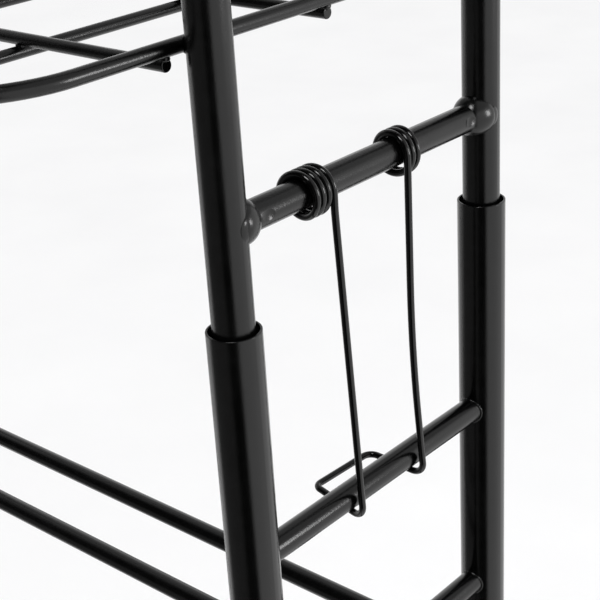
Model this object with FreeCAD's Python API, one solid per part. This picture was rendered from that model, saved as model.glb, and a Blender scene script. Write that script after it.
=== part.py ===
import FreeCAD, Part
import math
import os

os.makedirs("parts", exist_ok=True)
V = FreeCAD.Vector

# Frame: +X to the right and +Y to the wall for a person facing the rack, +Z up.
# The origin is on the floor, at the centre of the footprint of the shelves. All sizes are in mm.

# Driving dimensions of the tube frame
POST_SPAN = 590.0            # between the axes of the left and right posts
POST_DEPTH = 195.0           # between the axes of the front and rear posts
MOUTH_Z = 1070.0             # open top ends of the lower posts
LOWER_TUBE_D = 26.0
UPPER_TUBE_D = 20.0
POST_WALL = 1.0
MOUTH_EASE = 0.35            # rounding of the lower posts' open mouths
UPPER_RUNG_D = 14.8
LOWER_RUNG_D = 14.0          # all rungs of the lower frame
RUNG_WALL = 1.2
FLARE_REACH = 15.5           # spread end of an upper rung, from the post's axis
FLARE_SECTIONS = (           # distance from the post's axis, added half width, added half height
    (FLARE_REACH, 0.0, 0.0),
    (14.3, 1.0, 1.3),
    (11.5, 2.6, 3.0),
    (7.5, 3.8, 3.6),
    (4.5, 3.9, 3.3),
    (2.8, 3.3, 2.7),
)
MARK_R = 12.0                # press mark beside each spread end
MARK_DEPTH = 0.9
MARK_BESIDE_FLARE = 4.8
MARK_RISE = 2.0
RAIL_D = 12.0
RAIL_WALL = 1.2
RAIL_GAP = 55.0              # between the axes of the two cross rails
PLUG_DEPTH = 150.0           # how far an upper post reaches into its lower post

# Heights of the tube axes, counted from the mouths of the lower posts
UPPER_RUNG_RISE = 48.8
LOWER_RUNG_DROP = 124.7
RAIL_DROP = 243.2
FOOT_RUNG_Z = 150.0          # counted from the floor

# Shelves
SHELF_NAMES = ("lower", "middle", "upper")
FIRST_SHELF_RISE = 128.3     # rim axis of the lowest shelf, above the mouths
SHELF_PITCH = 250.0
RIM_D = 7.2
WIRE_D = 6.0
FRONT_OVERHANG = 116.0       # front rim axis ahead of the front posts' axes
FRONT_CORNER_R = 54.5
REAR_CORNER_R = 12.5
LONG_WIRE_PITCH = 103.0
CROSS_WIRE_COUNT = 5
WIRE_END_PAST_RIM = 1.0      # the long wires end just outside the rim's axis
WIRE_END_EASE = 0.7
CROSS_END_PAST_RIM = 2.0
CROSS_END_LAP = 8.0          # level end of a cross wire under the rim
CROSS_JOGGLE = 16.0          # run over which it steps down to pass under the long wires
CROSS_BEND_R = 18.0

# Clip that locks the upper frame to the lower one
CLIP_WIRE_D = 3.7
COIL_R = 10.4                # wire axis, around the upper rung
COIL_DROP = 0.8              # the coils hang a little below the rung's axis
COIL_PITCH = 3.95
FRONT_COIL_HALF_TURNS = 7
REAR_COIL_HALF_TURNS = 5
HOOK_GAP_BELOW = 1.4         # between the hooks and the lower rung
HOOK_GAP_OUTSIDE = 1.0
TAB_RISE = 2.0               # finger tab above the bottoms of the hooks

# Small parts
FOOT_FLANGE = 6.0
FOOT_D = 29.0
FOOT_EASE_LOW = 1.5
FOOT_EASE_HIGH = 1.0
FIT_GAP = 0.05               # radial gap of plugs pressed into tubes
TUBE_PLUG_LENGTH = 20.0
GUIDE_COLLAR_H = 12.0
CAP_HEIGHT = 3.0
CAP_EASE = 2.4
POST_TOP_ABOVE_RIM = 12.0
STOP_PIN_D = 5.0
BOLT_D = 6.0
BOLT_HOLE_D = 6.4
BOLT_HEAD_D = 10.5
BOLT_HEAD_H = 3.3
BOLT_HEAD_EASE = 2.3
BOLT_HEAD_SINK = 0.55        # its rim hugs the round rung
BOLT_SOCKET_AF = 4.0
BOLT_SOCKET_DEPTH = 2.0
BOLT_REACH = 18.0            # shank length inside the rail
INSERT_LENGTH = 22.0
INSERT_INSET = 1.0           # short of the rail's coped end

# Places worked out from the driving dimensions
POST_X = POST_SPAN / 2
RIM_X = POST_X - UPPER_TUBE_D / 2 - RIM_D / 2
SHELF_DEPTH = FRONT_OVERHANG + POST_DEPTH + REAR_CORNER_R
FRONT_RIM_Y = -SHELF_DEPTH / 2
REAR_RIM_Y = SHELF_DEPTH / 2
FRONT_POST_Y = FRONT_RIM_Y + FRONT_OVERHANG
REAR_POST_Y = FRONT_POST_Y + POST_DEPTH
MIDDLE_Y = FRONT_POST_Y + POST_DEPTH / 2
UPPER_RUNG_Z = MOUTH_Z + UPPER_RUNG_RISE
COIL_Z = UPPER_RUNG_Z - COIL_DROP
LOWER_RUNG_Z = MOUTH_Z - LOWER_RUNG_DROP
RAIL_Z = MOUTH_Z - RAIL_DROP
SHELF_Z = [MOUTH_Z + FIRST_SHELF_RISE + i * SHELF_PITCH for i in range(len(SHELF_NAMES))]
UPPER_TUBE_TOP = SHELF_Z[-1] + POST_TOP_ABOVE_RIM
UPPER_TUBE_FOOT = MOUTH_Z - PLUG_DEPTH
SIDES = {"right": 1, "left": -1}
POSTS_Y = {"front": FRONT_POST_Y, "rear": REAR_POST_Y}
RAILS_Y = {"front": MIDDLE_Y - RAIL_GAP / 2, "rear": MIDDLE_Y + RAIL_GAP / 2}
LOWER_PLUG_R = LOWER_TUBE_D / 2 - POST_WALL - FIT_GAP
UPPER_PLUG_R = UPPER_TUBE_D / 2 - POST_WALL - FIT_GAP


def save(shape, node):
    """Writes one sub-part and reports its volume."""
    assert shape.isValid(), node
    shape.exportStep("parts/" + node + ".step")
    print("%-28s solids %d  volume %.0f mm3" % (node, len(shape.Solids), shape.Volume))


def rod(start, end, radius):
    """A plain round bar between two points."""
    return Part.makeCylinder(radius, (end - start).Length, start, end - start)


def tube(start, end, diameter, wall):
    """A round tube between two points."""
    return rod(start, end, diameter / 2).cut(rod(start, end, diameter / 2 - wall))


def soften(shape, radius, chosen):
    """Rounds the edges that chosen(edge) accepts."""
    return shape.makeFillet(radius, [e for e in shape.Edges if chosen(e)])


def circular_at(z, radius):
    """Test for a horizontal circular edge at height z with this radius."""
    def test(edge):
        curve = edge.Curve
        return (isinstance(curve, Part.Circle) and abs(curve.Radius - radius) < 1e-3
                and abs(curve.Center.z - z) < 1e-3)
    return test


def rounded_path(points, radii, closed=False):
    """Edges of straight runs joined by tangent arcs; radii holds one bend radius for each bend."""
    count = len(points)
    bends = range(count) if closed else range(1, count - 1)
    arcs = {}
    for radius, i in zip(radii, bends):
        corner = points[i]
        back = (points[i - 1] - corner).normalize()
        ahead = (points[(i + 1) % count] - corner).normalize()
        half = back.getAngle(ahead) / 2
        run = radius / math.tan(half)
        middle = (back + ahead).normalize() * (radius / math.sin(half) - radius)
        arcs[i] = (corner + back * run, corner + middle, corner + ahead * run)
    edges = []
    for i in range(count if closed else count - 1):
        following = (i + 1) % count
        start = arcs[i][2] if i in arcs else points[i]
        end = arcs[following][0] if following in arcs else points[following]
        if (end - start).Length > 1e-6:
            edges.append(Part.LineSegment(start, end).toShape())
        if following in arcs:
            edges.append(Part.Arc(*arcs[following]).toShape())
    return edges


def bent_wire(edges, diameter):
    """Sweeps a round section along a smooth path of lines and arcs, and checks its volume."""
    path = Part.Wire(edges)
    first = edges[0]
    start = first.valueAt(first.FirstParameter)
    along = first.tangentAt(first.FirstParameter)
    section = Part.Wire([Part.Circle(start, along, diameter / 2).toShape()])
    solid = path.makePipeShell([section], True, False)
    expected = math.pi * diameter ** 2 / 4 * path.Length
    assert abs(solid.Volume / expected - 1) < 0.01, (solid.Volume, expected)
    return solid


# ---------------------------------------------------------------- tube frame

def lower_post(x, y):
    """Fat tube standing on its foot cap, with an eased lip at the open mouth."""
    post = tube(V(x, y, FOOT_FLANGE), V(x, y, MOUTH_Z), LOWER_TUBE_D, POST_WALL)
    return soften(post, MOUTH_EASE, circular_at(MOUTH_Z, LOWER_TUBE_D / 2))


def upper_post(x, y):
    """Thin tube that plugs into the lower post and carries the shelves."""
    return tube(V(x, y, UPPER_TUBE_FOOT), V(x, y, UPPER_TUBE_TOP), UPPER_TUBE_D, POST_WALL)


def coped_rung(x, z):
    """Plain rung of the lower frame along Y, cut to sit on the front and rear posts."""
    rung = tube(V(x, FRONT_POST_Y, z), V(x, REAR_POST_Y, z), LOWER_RUNG_D, RUNG_WALL)
    for y in POSTS_Y.values():
        rung = rung.cut(rod(V(x, y, z - LOWER_RUNG_D), V(x, y, z + LOWER_RUNG_D), LOWER_TUBE_D / 2))
    return rung


def oval_wire(x, y, z, half_x, half_z):
    """Upright oval section of a rung's end: a unit circle, stretched."""
    stretch = FreeCAD.Matrix()
    stretch.scale(V(half_x, 1, half_z))
    stretch.move(V(x, y, z))
    circle = Part.Circle(V(0, 0, 0), V(0, 1, 0), 1.0).toShape()
    return Part.Wire([circle.transformGeometry(stretch)])


def flared_end(x, z, post_y, inward):
    """End of the upper rung, spread into a saddle whose cheeks wrap the post."""
    radius = UPPER_RUNG_D / 2
    beyond = 2 * UPPER_RUNG_D
    wires = [oval_wire(x, post_y + inward * away, z, radius + wider, radius + taller)
             for away, wider, taller in FLARE_SECTIONS]
    saddle = Part.makeLoft(wires, True, False)
    saddle = saddle.cut(rod(V(x, post_y, z - beyond), V(x, post_y, z + beyond), UPPER_TUBE_D / 2))
    return saddle.cut(rod(V(x, post_y, z), V(x, post_y + inward * beyond, z), radius - RUNG_WALL))


def upper_rung(x, z):
    """Rung of the upper frame: a tube with spread ends and a press mark beside each of them."""
    ends = V(x, FRONT_POST_Y + FLARE_REACH, z), V(x, REAR_POST_Y - FLARE_REACH, z)
    rung = tube(*ends, UPPER_RUNG_D, RUNG_WALL)
    for y, inward in ((FRONT_POST_Y, 1), (REAR_POST_Y, -1)):
        for side in (1, -1):
            out = UPPER_RUNG_D / 2 - MARK_DEPTH + MARK_R
            centre = V(x + side * out, y + inward * (FLARE_REACH + MARK_BESIDE_FLARE), z + MARK_RISE)
            rung = rung.cut(Part.makeSphere(MARK_R, centre))
        rung = rung.fuse(flared_end(x, z, y, inward))
    return rung.removeSplitter()


def rung_body(x, y):
    """The space that a rail rung takes up around y, for cutting what sits against it."""
    return rod(V(x, y - LOWER_RUNG_D, RAIL_Z), V(x, y + LOWER_RUNG_D, RAIL_Z), LOWER_RUNG_D / 2)


def rail_rung(x):
    """Lower-frame rung that the cross rails are bolted to, with a hole for each bolt."""
    rung = coped_rung(x, RAIL_Z)
    for y in RAILS_Y.values():
        hole = rod(V(x - LOWER_RUNG_D, y, RAIL_Z), V(x + LOWER_RUNG_D, y, RAIL_Z), BOLT_HOLE_D / 2)
        rung = rung.cut(hole)
    return rung


def cross_rail(y):
    """Long tube between the two side frames, cut to sit on their rungs."""
    rail = tube(V(-POST_X, y, RAIL_Z), V(POST_X, y, RAIL_Z), RAIL_D, RAIL_WALL)
    for x in (-POST_X, POST_X):
        rail = rail.cut(rung_body(x, y))
    return rail


# ---------------------------------------------------------------- small parts of the frame

def foot_cap(x, y):
    """Push-in plastic foot: a rounded flange on the floor and a stem inside the tube."""
    flange = rod(V(x, y, 0), V(x, y, FOOT_FLANGE), FOOT_D / 2)
    flange = soften(flange, FOOT_EASE_LOW, circular_at(0, FOOT_D / 2))
    flange = soften(flange, FOOT_EASE_HIGH, circular_at(FOOT_FLANGE, FOOT_D / 2))
    stem = rod(V(x, y, FOOT_FLANGE), V(x, y, FOOT_FLANGE + TUBE_PLUG_LENGTH), LOWER_PLUG_R)
    return flange.fuse(stem).removeSplitter()


def top_cap(x, y):
    """Low domed plug in the top end of an upper post."""
    top = UPPER_TUBE_TOP + CAP_HEIGHT
    head = rod(V(x, y, UPPER_TUBE_TOP), V(x, y, top), UPPER_TUBE_D / 2)
    head = soften(head, CAP_EASE, circular_at(top, UPPER_TUBE_D / 2))
    stem = rod(V(x, y, UPPER_TUBE_TOP - TUBE_PLUG_LENGTH), V(x, y, UPPER_TUBE_TOP), UPPER_PLUG_R)
    return head.fuse(stem).removeSplitter()


def guide_plug(x, y):
    """Plug in the foot of an upper post that centres it inside the lower post, and the pin below it."""
    foot = UPPER_TUBE_FOOT
    collar = rod(V(x, y, foot - GUIDE_COLLAR_H), V(x, y, foot), LOWER_PLUG_R)
    stem = rod(V(x, y, foot), V(x, y, foot + TUBE_PLUG_LENGTH), UPPER_PLUG_R)
    pin_z = foot - GUIDE_COLLAR_H - STOP_PIN_D / 2
    pin = rod(V(x - LOWER_PLUG_R, y, pin_z), V(x + LOWER_PLUG_R, y, pin_z), STOP_PIN_D / 2)
    inside = rod(V(x, y, pin_z - STOP_PIN_D), V(x, y, pin_z + STOP_PIN_D), LOWER_PLUG_R)
    return collar.fuse(stem).removeSplitter(), pin.common(inside)


def hexagon_socket(x, y, z, outward):
    """Hexagonal recess of a bolt head that opens outwards along X."""
    corner = BOLT_SOCKET_AF / math.sqrt(3)
    turns = [math.radians(60 * i) for i in range(7)]
    points = [V(x, y + corner * math.cos(turn), z + corner * math.sin(turn)) for turn in turns]
    return Part.Face(Part.makePolygon(points)).extrude(V(-outward * BOLT_SOCKET_DEPTH, 0, 0))


def rail_bolt(y, side):
    """Button-head bolt through a rail rung into the end of a cross rail."""
    under = side * (POST_X + LOWER_RUNG_D / 2 - BOLT_HEAD_SINK)
    top = under + side * BOLT_HEAD_H
    tip = side * (POST_X - LOWER_RUNG_D / 2 - BOLT_REACH)
    head = rod(V(under, y, RAIL_Z), V(top, y, RAIL_Z), BOLT_HEAD_D / 2)
    head = soften(head, BOLT_HEAD_EASE, lambda e: isinstance(e.Curve, Part.Circle)
                  and abs(e.Curve.Center.x - top) < 1e-3)
    head = head.cut(hexagon_socket(top, y, RAIL_Z, side)).cut(rung_body(side * POST_X, y))
    shank = rod(V(tip, y, RAIL_Z), V(under + side * BOLT_HEAD_H / 3, y, RAIL_Z), BOLT_D / 2)
    return head.fuse(shank).removeSplitter()


def rail_insert(y, side):
    """Threaded plug pressed into the end of a cross rail."""
    outer = side * (POST_X - LOWER_RUNG_D / 2 - INSERT_INSET)
    inner = outer - side * INSERT_LENGTH
    plug = rod(V(inner, y, RAIL_Z), V(outer, y, RAIL_Z), RAIL_D / 2 - RAIL_WALL)
    return plug.cut(rod(V(inner, y, RAIL_Z), V(outer, y, RAIL_Z), BOLT_D / 2))


# ---------------------------------------------------------------- shelves

def shelf_rim(z):
    """Closed wire ring: wide bends at the front corners, tight ones beside the rear posts."""
    corners = [V(-RIM_X, FRONT_RIM_Y, z), V(RIM_X, FRONT_RIM_Y, z),
               V(RIM_X, REAR_RIM_Y, z), V(-RIM_X, REAR_RIM_Y, z)]
    radii = [FRONT_CORNER_R, FRONT_CORNER_R, REAR_CORNER_R, REAR_CORNER_R]
    return bent_wire(rounded_path(corners, radii, closed=True), RIM_D)


def long_wire(y, rim_z):
    """Straight wire along X, welded under the two sides of the rim, with eased ends."""
    z = rim_z - RIM_D / 2 - WIRE_D / 2
    reach = RIM_X + WIRE_END_PAST_RIM
    wire = rod(V(-reach, y, z), V(reach, y, z), WIRE_D / 2)
    return soften(wire, WIRE_END_EASE, lambda e: isinstance(e.Curve, Part.Circle))


def cross_wire(x, rim_z):
    """Wire along Y under the long wires, joggled up at both ends to meet the rim."""
    high = rim_z - RIM_D / 2 - WIRE_D / 2
    low = high - WIRE_D
    front_half = [(-CROSS_END_PAST_RIM, high), (CROSS_END_LAP, high), (CROSS_END_LAP + CROSS_JOGGLE, low)]
    points = [V(x, FRONT_RIM_Y + inward, z) for inward, z in front_half]
    points += [V(x, REAR_RIM_Y - inward, z) for inward, z in reversed(front_half)]
    return bent_wire(rounded_path(points, [CROSS_BEND_R] * 4), WIRE_D)


# ---------------------------------------------------------------- wire clips

def coil_edges(side, y_leg, towards, half_turns):
    """Half-turn arcs of a coil on the upper rung, from its free end to the top of its leg."""
    x = side * POST_X

    def seat(i):
        out = 1 if i % 2 == 0 else -1
        return V(x + side * out * COIL_R, y_leg + towards * i * COIL_PITCH / 2, COIL_Z)

    edges = []
    for i in range(half_turns, 0, -1):
        start, end = seat(i), seat(i - 1)
        over = 1 if i % 2 == 1 else -1
        middle = (start + end) * 0.5
        crown = middle + V(0, 0, over * (start - end).Length / 2)
        edges.append(Part.Arc(start, crown, end).toShape())
    return edges


def clip(side):
    """One sprung wire: two loose coils on the upper rung, two legs hooked under the lower rung,
    and a finger tab that joins the legs on the inner side."""
    to_wire = LOWER_RUNG_D / 2 + CLIP_WIRE_D / 2
    hook_z = LOWER_RUNG_Z - to_wire - HOOK_GAP_BELOW
    hook_out = to_wire + HOOK_GAP_OUTSIDE
    tab_z = hook_z + TAB_RISE
    bends = (                    # outward, along Y from the front post, height, bend radius
        (COIL_R, 61.0, COIL_Z, None),
        (COIL_R, 61.0, UPPER_RUNG_Z - 10, 60.0),
        (hook_out, 72.4, hook_z, 7.5),
        (-28.8, 79.6, tab_z, 4.5),
        (-26.6, 123.9, tab_z, 6.0),
        (hook_out, 124.8, hook_z, 7.5),
        (10.3, 116.4, UPPER_RUNG_Z - 105, 700.0),
        (COIL_R, 116.8, UPPER_RUNG_Z - 10, 60.0),
        (COIL_R, 116.8, COIL_Z, None),
    )
    points = [V(side * (POST_X + out), FRONT_POST_Y + y, z) for out, y, z, _ in bends]
    radii = [radius for _, _, _, radius in bends if radius]
    front_coil = coil_edges(side, points[0].y, -1, FRONT_COIL_HALF_TURNS)
    rear_coil = coil_edges(side, points[-1].y, 1, REAR_COIL_HALF_TURNS)
    rear_coil = [Part.Arc(e.valueAt(e.LastParameter), e.valueAt((e.FirstParameter + e.LastParameter) / 2),
                          e.valueAt(e.FirstParameter)).toShape() for e in reversed(rear_coil)]
    return bent_wire(front_coil + rounded_path(points, radii) + rear_coil, CLIP_WIRE_D)


# ---------------------------------------------------------------- everything, one file for each sub-part

rung_of_upper_frame = upper_rung(0, 0)
stop_pins = []
bolts = []
inserts = []
for side_name, side in SIDES.items():
    x = side * POST_X
    for place, y in POSTS_Y.items():
        tag = place + "_" + side_name
        save(lower_post(x, y), "lower_post_" + tag)
        save(upper_post(x, y), "upper_post_" + tag)
        save(foot_cap(x, y), "foot_cap_" + tag)
        save(top_cap(x, y), "top_cap_" + tag)
        plug, pin = guide_plug(x, y)
        save(plug, "guide_plug_" + tag)
        stop_pins.append(pin)
    save(rung_of_upper_frame.translated(V(x, 0, UPPER_RUNG_Z)), "upper_rung_" + side_name)
    save(coped_rung(x, LOWER_RUNG_Z), "lower_rung_" + side_name)
    save(rail_rung(x), "rail_rung_" + side_name)
    save(coped_rung(x, FOOT_RUNG_Z), "foot_rung_" + side_name)
    save(clip(side), "clip_" + side_name)
    bolts += [rail_bolt(y, side) for y in RAILS_Y.values()]
    inserts += [rail_insert(y, side) for y in RAILS_Y.values()]
save(Part.makeCompound(stop_pins), "post_stop_pins")
save(Part.makeCompound(bolts), "rail_bolts")
save(Part.makeCompound(inserts), "rail_inserts")
for place, y in RAILS_Y.items():
    save(cross_rail(y), "cross_rail_" + place)
for name, z in zip(SHELF_NAMES, SHELF_Z):
    save(shelf_rim(z), "rim_" + name + "_shelf")
    for i, place in enumerate(("front", "rear"), 1):
        save(long_wire(FRONT_RIM_Y + i * LONG_WIRE_PITCH, z), "long_wire_" + place + "_" + name + "_shelf")
    spacing = 2 * RIM_X / (CROSS_WIRE_COUNT + 1)
    wires = [cross_wire(-RIM_X + (i + 1) * spacing, z) for i in range(CROSS_WIRE_COUNT)]
    save(Part.makeCompound(wires), "cross_wires_" + name + "_shelf")
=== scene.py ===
"""Looks for the over-the-toilet storage rack: powder coat, plastic and zinc materials, the welds,
a pale floor, soft light and the camera. Lengths are in metres and the frame is the CAD's."""

import math

import bmesh
import bpy
from mathutils import Matrix, Vector, noise


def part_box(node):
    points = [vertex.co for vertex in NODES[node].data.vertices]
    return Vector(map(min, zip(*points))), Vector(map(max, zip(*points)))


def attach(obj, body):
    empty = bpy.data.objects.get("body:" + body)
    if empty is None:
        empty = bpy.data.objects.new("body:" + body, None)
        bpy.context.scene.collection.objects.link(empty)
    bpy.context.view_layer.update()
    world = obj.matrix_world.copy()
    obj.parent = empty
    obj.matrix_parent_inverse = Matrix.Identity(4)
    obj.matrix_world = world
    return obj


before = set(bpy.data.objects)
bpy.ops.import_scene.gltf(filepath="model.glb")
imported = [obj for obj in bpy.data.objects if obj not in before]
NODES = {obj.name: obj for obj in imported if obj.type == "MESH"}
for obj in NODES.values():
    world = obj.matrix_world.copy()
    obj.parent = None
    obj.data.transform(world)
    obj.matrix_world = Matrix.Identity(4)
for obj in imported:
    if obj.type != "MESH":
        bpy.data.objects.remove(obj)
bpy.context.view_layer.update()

MM = 0.001

# ---------------------------------------------------------------- camera: place from the near post's
# mouth, angles in degrees, lens and sensor in millimetres
CAMERA_FROM_MOUTH = Vector((0.40064, -0.39548, 0.26867))
CAMERA_AZIMUTH = 42.29
CAMERA_ELEVATION = 24.50
CAMERA_ROLL = -3.585
CAMERA_LENS = 83.92
CAMERA_SENSOR = 36.0
CAMERA_NEAREST = 0.05
CAMERA_FARTHEST = 200

# ---------------------------------------------------------------- weld sizes
BEAD_R = 0.85 * MM
BEAD_SIDES = 12
BEAD_STEPS = 120
BEAD_RIPPLES = 22
BEAD_RIPPLE_DEPTH = 0.14                        # share of the bead's radius
BEAD_UNEVEN = 3                                 # how far, in radians, the ripples drift
BEAD_UNEVEN_SCALE = 60
NUGGET_R = 1.9 * MM
NUGGET_AT_CROSSING = 1.25                       # how much wider than high a nugget is
NUGGET_AT_RIM = 1.3
CROSS_WIRES = 5
TACK = Vector((2.0, 2.2, 1.6)) * MM             # half sizes of one nugget in a tack
TACK_NUGGETS = (-1, 0, 1)
TACK_STEP = 1.7 * MM
TACK_TURN = 0.16                                # radians round the post from nugget to nugget
TACK_FROM_POST = 0.35                           # shares of the rim's radius
TACK_FROM_RIM_MIDDLE = 0.72
TACK_ROUGH = 0.16
CHEEK_FILLET = Vector((1.2, 3.8, 5.2)) * MM     # half sizes of the weld at a spread end's cheek
CHEEK_END = 2.8 * MM                            # the cheeks stop this far from the post's axis
CHEEK_ROUGH = 0.03
BLOB_DIVISIONS = 3
BLOB_ROUGH = 0.10
BLOB_NOISE_SCALE = 1.7
BLOB_SEED_STEP = 3.1
CROSSING_SEED = 1                               # the first seed of each sort of weld
TACK_SEED = 50
CHEEK_SEED = 90

# ---------------------------------------------------------------- floor and light
FLOOR_HALF = 60.0
FLOOR_CELLS = 4
PALE_ROOM = (0.98, 0.98, 0.985, 1)

# ---------------------------------------------------------------- paint texture: noise scales per
# metre, and heights of the bumps
NOISE_LOW = 0.3                                 # the part of a noise's range that is used
NOISE_HIGH = 0.7
PEEL_SCALE = 900.0
PEEL_HEIGHT = 0.05 * MM
GRAIN_SCALE = 4200.0
GRAIN_HEIGHT = 0.012 * MM
GLOSS_DRIFT_SCALE = 26.0
PATCH_SCALE = 160.0
PATCH_LOW = 0.35
PAINT_IOR = 1.5
PLASTIC_GRAIN_SCALE = 2600.0
PLASTIC_GRAIN_HEIGHT = 0.03 * MM
PLASTIC_GRAIN_STRENGTH = 0.6
FLOW_SCALE = 60.0
PLASTIC_IOR = 1.49
ZINC_CLOUD_SCALE = 420.0
ZINC_SCRATCH_SCALE = 3000.0
ZINC_SCRATCH_HEIGHT = 0.01 * MM
ZINC_SCRATCH_STRENGTH = 0.5


def post_axis(where):
    """The x and y of a post's axis, and the height of its lower tube's mouth."""
    low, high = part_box("lower_post_" + where)
    middle = (low + high) / 2
    return middle.x, middle.y, high.z


def upper_post(where):
    """The x and y of an upper post's axis, and its radius."""
    low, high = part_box("upper_post_" + where)
    middle = (low + high) / 2
    return middle.x, middle.y, (high.x - low.x) / 2


# ---------------------------------------------------------------- materials
def new_material(name):
    """A node material; returns it, its node tree and its Principled shader."""
    material = bpy.data.materials.new(name)
    material.use_nodes = True
    tree = material.node_tree
    shader = tree.nodes["Principled BSDF"]
    return material, tree, shader


def object_noise(tree, scale, detail):
    """A noise texture in object space, so that it stays on the piece."""
    place = tree.nodes.new("ShaderNodeTexCoord")
    texture = tree.nodes.new("ShaderNodeTexNoise")
    texture.inputs["Scale"].default_value = scale
    texture.inputs["Detail"].default_value = detail
    tree.links.new(place.outputs["Object"], texture.inputs["Vector"])
    return texture


def ramp(tree, source, low, high, colour_low, colour_high):
    """A two-colour ramp driven by a texture's factor."""
    node = tree.nodes.new("ShaderNodeValToRGB")
    node.color_ramp.elements[0].position = low
    node.color_ramp.elements[1].position = high
    node.color_ramp.elements[0].color = (*colour_low, 1)
    node.color_ramp.elements[1].color = (*colour_high, 1)
    tree.links.new(source, node.inputs["Fac"])
    return node.outputs["Color"]


def spread(tree, source, low, high):
    """Maps a texture's factor to the range low..high."""
    node = tree.nodes.new("ShaderNodeMapRange")
    node.inputs["From Min"].default_value = NOISE_LOW
    node.inputs["From Max"].default_value = NOISE_HIGH
    node.inputs["To Min"].default_value = low
    node.inputs["To Max"].default_value = high
    tree.links.new(source, node.inputs["Value"])
    return node.outputs["Result"]


def bump(tree, height, distance, strength, under=None):
    """A bump layer, laid over another one if that is given."""
    node = tree.nodes.new("ShaderNodeBump")
    node.inputs["Distance"].default_value = distance
    node.inputs["Strength"].default_value = strength
    tree.links.new(height, node.inputs["Height"])
    if under is not None:
        tree.links.new(under, node.inputs["Normal"])
    return node.outputs["Normal"]


def powder_coat(name, dark, pale, rough_low, rough_high, peel):
    """Black powder coat: fine orange peel, a finer grain, drifting gloss and slightly paler patches."""
    material, tree, shader = new_material(name)
    peel_noise = object_noise(tree, PEEL_SCALE, 2.0)
    grain = object_noise(tree, GRAIN_SCALE, 1.0)
    drift = object_noise(tree, GLOSS_DRIFT_SCALE, 3.0)
    patches = object_noise(tree, PATCH_SCALE, 2.0)
    normal = bump(tree, peel_noise.outputs["Fac"], PEEL_HEIGHT, peel)
    normal = bump(tree, grain.outputs["Fac"], GRAIN_HEIGHT, peel, normal)
    tree.links.new(normal, shader.inputs["Normal"])
    colour = ramp(tree, patches.outputs["Fac"], PATCH_LOW, NOISE_HIGH, dark, pale)
    tree.links.new(colour, shader.inputs["Base Color"])
    rough = spread(tree, drift.outputs["Fac"], rough_low, rough_high)
    tree.links.new(rough, shader.inputs["Roughness"])
    shader.inputs["IOR"].default_value = PAINT_IOR
    return material


def moulded_plastic(name, dark, pale, rough_low, rough_high):
    """Moulded black plastic with a fine spark-eroded grain and slight flow marks."""
    material, tree, shader = new_material(name)
    grain = object_noise(tree, PLASTIC_GRAIN_SCALE, 2.0)
    flow = object_noise(tree, FLOW_SCALE, 2.0)
    normal = bump(tree, grain.outputs["Fac"], PLASTIC_GRAIN_HEIGHT, PLASTIC_GRAIN_STRENGTH)
    tree.links.new(normal, shader.inputs["Normal"])
    colour = ramp(tree, flow.outputs["Fac"], NOISE_LOW, NOISE_HIGH, dark, pale)
    tree.links.new(colour, shader.inputs["Base Color"])
    rough = spread(tree, flow.outputs["Fac"], rough_low, rough_high)
    tree.links.new(rough, shader.inputs["Roughness"])
    shader.inputs["IOR"].default_value = PLASTIC_IOR
    return material


def zinc_steel(name):
    """Bright zinc plate with its faint crystalline clouding."""
    material, tree, shader = new_material(name)
    clouds = object_noise(tree, ZINC_CLOUD_SCALE, 3.0)
    scratches = object_noise(tree, ZINC_SCRATCH_SCALE, 1.0)
    shader.inputs["Metallic"].default_value = 1.0
    colour = ramp(tree, clouds.outputs["Fac"], NOISE_LOW, NOISE_HIGH, (0.46, 0.48, 0.50), (0.62, 0.63, 0.62))
    tree.links.new(colour, shader.inputs["Base Color"])
    rough = spread(tree, clouds.outputs["Fac"], 0.28, 0.45)
    tree.links.new(rough, shader.inputs["Roughness"])
    normal = bump(tree, scratches.outputs["Fac"], ZINC_SCRATCH_HEIGHT, ZINC_SCRATCH_STRENGTH)
    tree.links.new(normal, shader.inputs["Normal"])
    return material


PAINT_DARK = (0.0004, 0.0004, 0.0004)
PAINT_PALE = (0.0014, 0.0014, 0.0015)
CLIP_PALE = (0.0010, 0.0010, 0.0010)
MATERIALS = {
    "lower_frame_paint": powder_coat(
        "lower_frame_paint_look", PAINT_DARK, PAINT_PALE, 0.15, 0.22, 0.75),
    "upper_frame_paint": powder_coat(
        "upper_frame_paint_look", PAINT_DARK, PAINT_PALE, 0.18, 0.26, 0.95),
    "shelf_paint": powder_coat(
        "shelf_paint_look", PAINT_DARK, PAINT_PALE, 0.17, 0.25, 0.75),
    "clip_wire_paint": powder_coat(
        "clip_wire_paint_look", PAINT_DARK, CLIP_PALE, 0.12, 0.18, 0.15),
    "bolt_black": powder_coat(
        "bolt_black_look", (0.006, 0.006, 0.006), (0.014, 0.013, 0.012), 0.34, 0.50, 0.30),
    "foot_plastic": moulded_plastic(
        "foot_plastic_look", (0.008, 0.008, 0.008), (0.014, 0.014, 0.014), 0.48, 0.62),
    "cap_plastic": moulded_plastic(
        "cap_plastic_look", (0.006, 0.006, 0.006), (0.011, 0.011, 0.011), 0.36, 0.48),
    "plug_plastic": moulded_plastic(
        "plug_plastic_look", (0.03, 0.03, 0.03), (0.05, 0.05, 0.05), 0.45, 0.60),
    "zinc_steel": zinc_steel("zinc_steel_look"),
}


def dress(node):
    """Gives a CAD node's slots the finished materials of the record's slot names."""
    for slot in node.material_slots:
        slot.material = MATERIALS[slot.material.name.split(".")[0]]


for cad_node in NODES.values():
    dress(cad_node)


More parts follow.
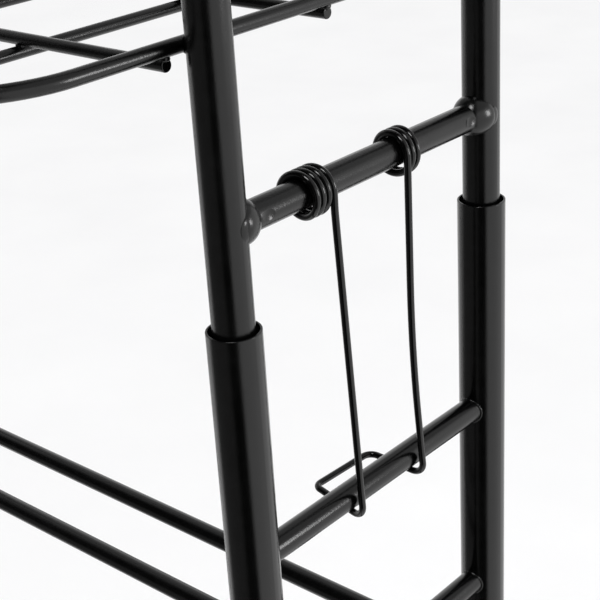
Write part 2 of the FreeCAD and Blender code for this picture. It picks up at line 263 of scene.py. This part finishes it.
# ---------------------------------------------------------------- mesh helpers
def finish_piece(name, mesh_maker, body, slot):
    """Turns a bmesh into a named piece that rides on a body and has its slot's material."""
    mesh = bpy.data.meshes.new(name)
    bmesh.ops.recalc_face_normals(mesh_maker, faces=mesh_maker.faces)
    mesh_maker.to_mesh(mesh)
    mesh_maker.free()
    for face in mesh.polygons:
        face.use_smooth = True
    mesh.materials.append(MATERIALS[slot])
    piece = bpy.data.objects.new(name, mesh)
    bpy.context.scene.collection.objects.link(piece)
    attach(piece, body)


def sweep_ring(maker, centres, radii, sides):
    """Adds a closed tube through a closed line of centres, with one radius for each of them."""
    count = len(centres)
    middle = sum(centres, Vector()) / count
    rings = []
    for i in range(count):
        ahead = (centres[(i + 1) % count] - centres[i - 1]).normalized()
        out = centres[i] - middle
        out = (out - ahead * out.dot(ahead)).normalized()
        across = ahead.cross(out)
        ring = []
        for k in range(sides):
            turn = 2 * math.pi * k / sides
            ring.append(maker.verts.new(
                centres[i] + (out * math.cos(turn) + across * math.sin(turn)) * radii[i]))
        rings.append(ring)
    for i in range(count):
        near = rings[i]
        far = rings[(i + 1) % count]
        for k in range(sides):
            maker.faces.new((near[k], near[(k + 1) % sides], far[(k + 1) % sides], far[k]))


def rung_bead(maker, post_x, post_y, toward, z, rung_r, post_r):
    """A thin rippled weld round a coped rung's end, where it meets the post."""
    centres = []
    radii = []
    for i in range(BEAD_STEPS):
        turn = 2 * math.pi * i / BEAD_STEPS
        x = rung_r * math.cos(turn)
        y = toward * math.sqrt(post_r ** 2 - x ** 2)
        centres.append(Vector((post_x + x, post_y + y, z + rung_r * math.sin(turn))))
        drift = BEAD_UNEVEN * noise.noise(Vector((x, y, z)) * BEAD_UNEVEN_SCALE)
        ripple = (1 + math.cos(turn * BEAD_RIPPLES + drift)) / 2
        radii.append(BEAD_R * (1 - BEAD_RIPPLE_DEPTH + BEAD_RIPPLE_DEPTH * ripple))
    sweep_ring(maker, centres, radii, BEAD_SIDES)


def blob(maker, centre, half_sizes, seed, rough=BLOB_ROUGH):
    """A small rounded nugget of weld metal: an uneven ellipsoid round its centre."""
    made = bmesh.ops.create_icosphere(maker, subdivisions=BLOB_DIVISIONS, radius=1.0)
    for vert in made["verts"]:
        spot = vert.co * BLOB_NOISE_SCALE + Vector((seed * BLOB_SEED_STEP, seed, 0))
        vert.co = centre + vert.co * (1 + rough * noise.noise(spot)) * half_sizes


# ---------------------------------------------------------------- welds
def rung_welds():
    """The beads at both ends of the rungs between the lower posts, one piece for each side."""
    for side in ("right", "left"):
        front_x, front_y, _ = post_axis("front_" + side)
        rear_x, rear_y, _ = post_axis("rear_" + side)
        low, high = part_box("lower_post_front_" + side)
        post_r = (high.x - low.x) / 2
        maker = bmesh.new()
        for rung in ("lower_rung_", "rail_rung_", "foot_rung_"):
            low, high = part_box(rung + side)
            rung_r = (high.x - low.x) / 2
            z = (high.z + low.z) / 2
            rung_bead(maker, front_x, front_y, 1, z, rung_r, post_r)
            rung_bead(maker, rear_x, rear_y, -1, z, rung_r, post_r)
        finish_piece("rung_welds_" + side, maker, "rack", "lower_frame_paint")


def nugget(wider):
    """Half sizes of a spot weld's nugget, so many times wider than it is high."""
    return Vector((NUGGET_R * wider, NUGGET_R * wider, NUGGET_R))


def crossing_welds(shelf):
    """Spot welds where the shelf's wires cross each other and the rim."""
    maker = bmesh.new()
    cross_low, cross_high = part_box(f"cross_wires_{shelf}_shelf")
    rim_low, rim_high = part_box(f"rim_{shelf}_shelf")
    rim_r = (rim_high.z - rim_low.z) / 2
    seed = CROSSING_SEED
    for place in ("front", "rear"):
        low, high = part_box(f"long_wire_{place}_{shelf}_shelf")
        y = (low.y + high.y) / 2
        wire_d = high.z - low.z
        first = cross_low.x + wire_d / 2
        last = cross_high.x - wire_d / 2
        for i in range(CROSS_WIRES):
            x = first + (last - first) * i / (CROSS_WIRES - 1)
            blob(maker, Vector((x, y, low.z)), nugget(NUGGET_AT_CROSSING), seed)
            seed += 1
        for end in (-1, 1):
            centre = Vector((end * (rim_high.x - rim_r), y, high.z))
            blob(maker, centre, nugget(NUGGET_AT_RIM), seed)
            seed += 1
    finish_piece(f"crossing_welds_{shelf}_shelf", maker, "rack", "shelf_paint")


def post_tacks(shelf):
    """Short fillet welds above and below the rim where it touches each post."""
    maker = bmesh.new()
    low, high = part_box(f"rim_{shelf}_shelf")
    rim_r = (high.z - low.z) / 2
    z = (high.z + low.z) / 2
    seed = TACK_SEED
    for where in ("front_right", "front_left", "rear_right", "rear_left"):
        x, y, post_r = upper_post(where)
        inward = -math.copysign(1, x)
        for up in (-1, 1):
            for step in TACK_NUGGETS:
                centre = Vector((
                    x + inward * (post_r * math.cos(step * TACK_TURN) + TACK_FROM_POST * rim_r),
                    y + step * TACK_STEP,
                    z + up * rim_r * TACK_FROM_RIM_MIDDLE))
                blob(maker, centre, TACK, seed, TACK_ROUGH)
                seed += 1
    finish_piece(f"post_tacks_{shelf}_shelf", maker, "rack", "shelf_paint")


def cheek_welds(side):
    """Smooth fillets that run the cheeks of the upper rung's spread ends out onto the posts."""
    maker = bmesh.new()
    low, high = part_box("upper_rung_" + side)
    z = (low.z + high.z) / 2
    seed = CHEEK_SEED
    for place, inward in (("front_", 1), ("rear_", -1)):
        x, y, post_r = upper_post(place + side)
        skin = math.sqrt(post_r ** 2 - CHEEK_END ** 2)
        for out in (-1, 1):
            centre = Vector((x + out * skin, y + inward * CHEEK_END, z))
            blob(maker, centre, CHEEK_FILLET, seed, CHEEK_ROUGH)
            seed += 1
    finish_piece("cheek_welds_" + side, maker, "rack", "upper_frame_paint")


rung_welds()
for side_name in ("right", "left"):
    cheek_welds(side_name)
for shelf_name in ("lower", "middle", "upper"):
    crossing_welds(shelf_name)
    post_tacks(shelf_name)


# ---------------------------------------------------------------- floor
def floor():
    """A large plain pale floor, which the paint doesn't mirror."""
    maker = bmesh.new()
    bmesh.ops.create_grid(maker, x_segments=FLOOR_CELLS, y_segments=FLOOR_CELLS, size=FLOOR_HALF)
    mesh = bpy.data.meshes.new("floor")
    maker.to_mesh(mesh)
    maker.free()
    material, tree, shader = new_material("floor_look")
    mottle = object_noise(tree, 3.0, 4.0)
    mottle_dark = (0.925, 0.925, 0.927)
    mottle_pale = (0.955, 0.955, 0.955)
    colour = ramp(tree, mottle.outputs["Fac"], NOISE_LOW, NOISE_HIGH, mottle_dark, mottle_pale)
    tree.links.new(colour, shader.inputs["Base Color"])
    shader.inputs["Roughness"].default_value = 0.9
    shader.inputs["Specular IOR Level"].default_value = 0.0
    mesh.materials.append(material)
    piece = bpy.data.objects.new("floor", mesh)
    bpy.context.scene.collection.objects.link(piece)
    piece.visible_glossy = False


# ---------------------------------------------------------------- light
def world_light():
    """A pale room. What the gloss mirrors is bright to the right, beyond and below, and dark in front."""
    world = bpy.data.worlds.new("studio")
    world.use_nodes = True
    tree = world.node_tree
    tree.nodes.clear()
    out = tree.nodes.new("ShaderNodeOutputWorld")
    plain = tree.nodes.new("ShaderNodeBackground")
    plain.inputs["Color"].default_value = PALE_ROOM
    plain.inputs["Strength"].default_value = 1.0
    mirrored = tree.nodes.new("ShaderNodeBackground")
    path = tree.nodes.new("ShaderNodeLightPath")
    mix = tree.nodes.new("ShaderNodeMixShader")
    tree.links.new(path.outputs["Is Glossy Ray"], mix.inputs["Fac"])
    tree.links.new(plain.outputs["Background"], mix.inputs[1])
    tree.links.new(mirrored.outputs["Background"], mix.inputs[2])
    tree.links.new(mix.outputs["Shader"], out.inputs["Surface"])
    place = tree.nodes.new("ShaderNodeTexCoord")

    def lobe(direction, low, high, value_low, value_high):
        """A level that goes smoothly from value_low to value_high as the part of the ray's unit vector
        along a direction goes from low to high."""
        dot = tree.nodes.new("ShaderNodeVectorMath")
        dot.operation = "DOT_PRODUCT"
        dot.inputs[1].default_value = Vector(direction).normalized()
        tree.links.new(place.outputs["Generated"], dot.inputs[0])
        fade = tree.nodes.new("ShaderNodeMapRange")
        fade.interpolation_type = "SMOOTHSTEP"
        fade.inputs["From Min"].default_value = low
        fade.inputs["From Max"].default_value = high
        fade.inputs["To Min"].default_value = value_low
        fade.inputs["To Max"].default_value = value_high
        tree.links.new(dot.outputs["Value"], fade.inputs["Value"])
        return fade.outputs["Result"]

    def maths(operation, a, b):
        """Two levels joined by one of the Math node's operations."""
        node = tree.nodes.new("ShaderNodeMath")
        node.operation = operation
        tree.links.new(a, node.inputs[0])
        tree.links.new(b, node.inputs[1])
        return node.outputs["Value"]

    turn = math.radians(CAMERA_AZIMUTH)
    right = (math.cos(turn), math.sin(turn), 0)
    beyond = (-math.sin(turn), math.cos(turn), 0)
    low_enough = lobe((0, 0, 1), 0.36, 0.52, 1.0, 0.5)
    from_right = maths("MULTIPLY", lobe(right, 0.12, 0.40, 0.02, 1.0), low_enough)
    from_beyond = maths("MULTIPLY", lobe(beyond, 0.10, 0.50, 0.0, 1.0), low_enough)
    not_upward = lobe((0, 0, 1), -0.15, 0.20, 1.0, 0.0)
    from_left = maths("MULTIPLY", lobe((-right[0], -right[1], 0), 0.20, 0.55, 0.0, 0.16), not_upward)
    from_below = lobe((0, 0, -1), 0.66, 0.88, 0.0, 1.0)
    level = maths("MAXIMUM", from_right, from_beyond)
    level = maths("MAXIMUM", level, from_left)
    level = maths("MAXIMUM", level, from_below)
    tree.links.new(level, mirrored.inputs["Strength"])
    mirrored.inputs["Color"].default_value = (1, 1, 1, 1)
    bpy.context.scene.world = world


def soft_box(name, aim, azimuth, elevation, distance, width, height, watts):
    """A soft rectangular lamp: angles in degrees, sizes and distance in metres from the aim point."""
    data = bpy.data.lights.new(name, "AREA")
    data.shape = "RECTANGLE"
    data.size = width
    data.size_y = height
    data.energy = watts
    lamp = bpy.data.objects.new(name, data)
    bpy.context.scene.collection.objects.link(lamp)
    turn = math.radians(azimuth)
    lift = math.radians(elevation)
    away = Vector((math.sin(turn) * math.cos(lift), -math.cos(turn) * math.cos(lift), math.sin(lift)))
    lamp.location = aim + away * distance
    lamp.rotation_euler = (-away).to_track_quat("-Z", "Y").to_euler()


# ---------------------------------------------------------------- camera
def camera(mouth):
    """The camera, at the front right of the near post's mouth and looking down on it."""
    data = bpy.data.cameras.new("camera")
    data.lens = CAMERA_LENS
    data.sensor_width = CAMERA_SENSOR
    data.clip_start = CAMERA_NEAREST
    data.clip_end = CAMERA_FARTHEST
    eye = bpy.data.objects.new("camera", data)
    bpy.context.scene.collection.objects.link(eye)
    turn = Matrix.Rotation(math.radians(CAMERA_AZIMUTH), 4, "Z")
    tilt = Matrix.Rotation(math.radians(90 - CAMERA_ELEVATION), 4, "X")
    roll = Matrix.Rotation(math.radians(CAMERA_ROLL), 4, "Z")
    eye.matrix_world = Matrix.Translation(mouth + CAMERA_FROM_MOUTH) @ turn @ tilt @ roll
    bpy.context.scene.camera = eye


near_mouth = Vector(post_axis("front_right"))
floor()
world_light()
soft_box("side_box", near_mouth, azimuth=122, elevation=8, distance=1.7, width=0.40, height=0.55, watts=7.0)
soft_box("top_box", near_mouth, azimuth=20, elevation=62, distance=1.5, width=0.50, height=0.50, watts=8.0)
camera(near_mouth)
bpy.context.scene.view_settings.view_transform = "Standard"
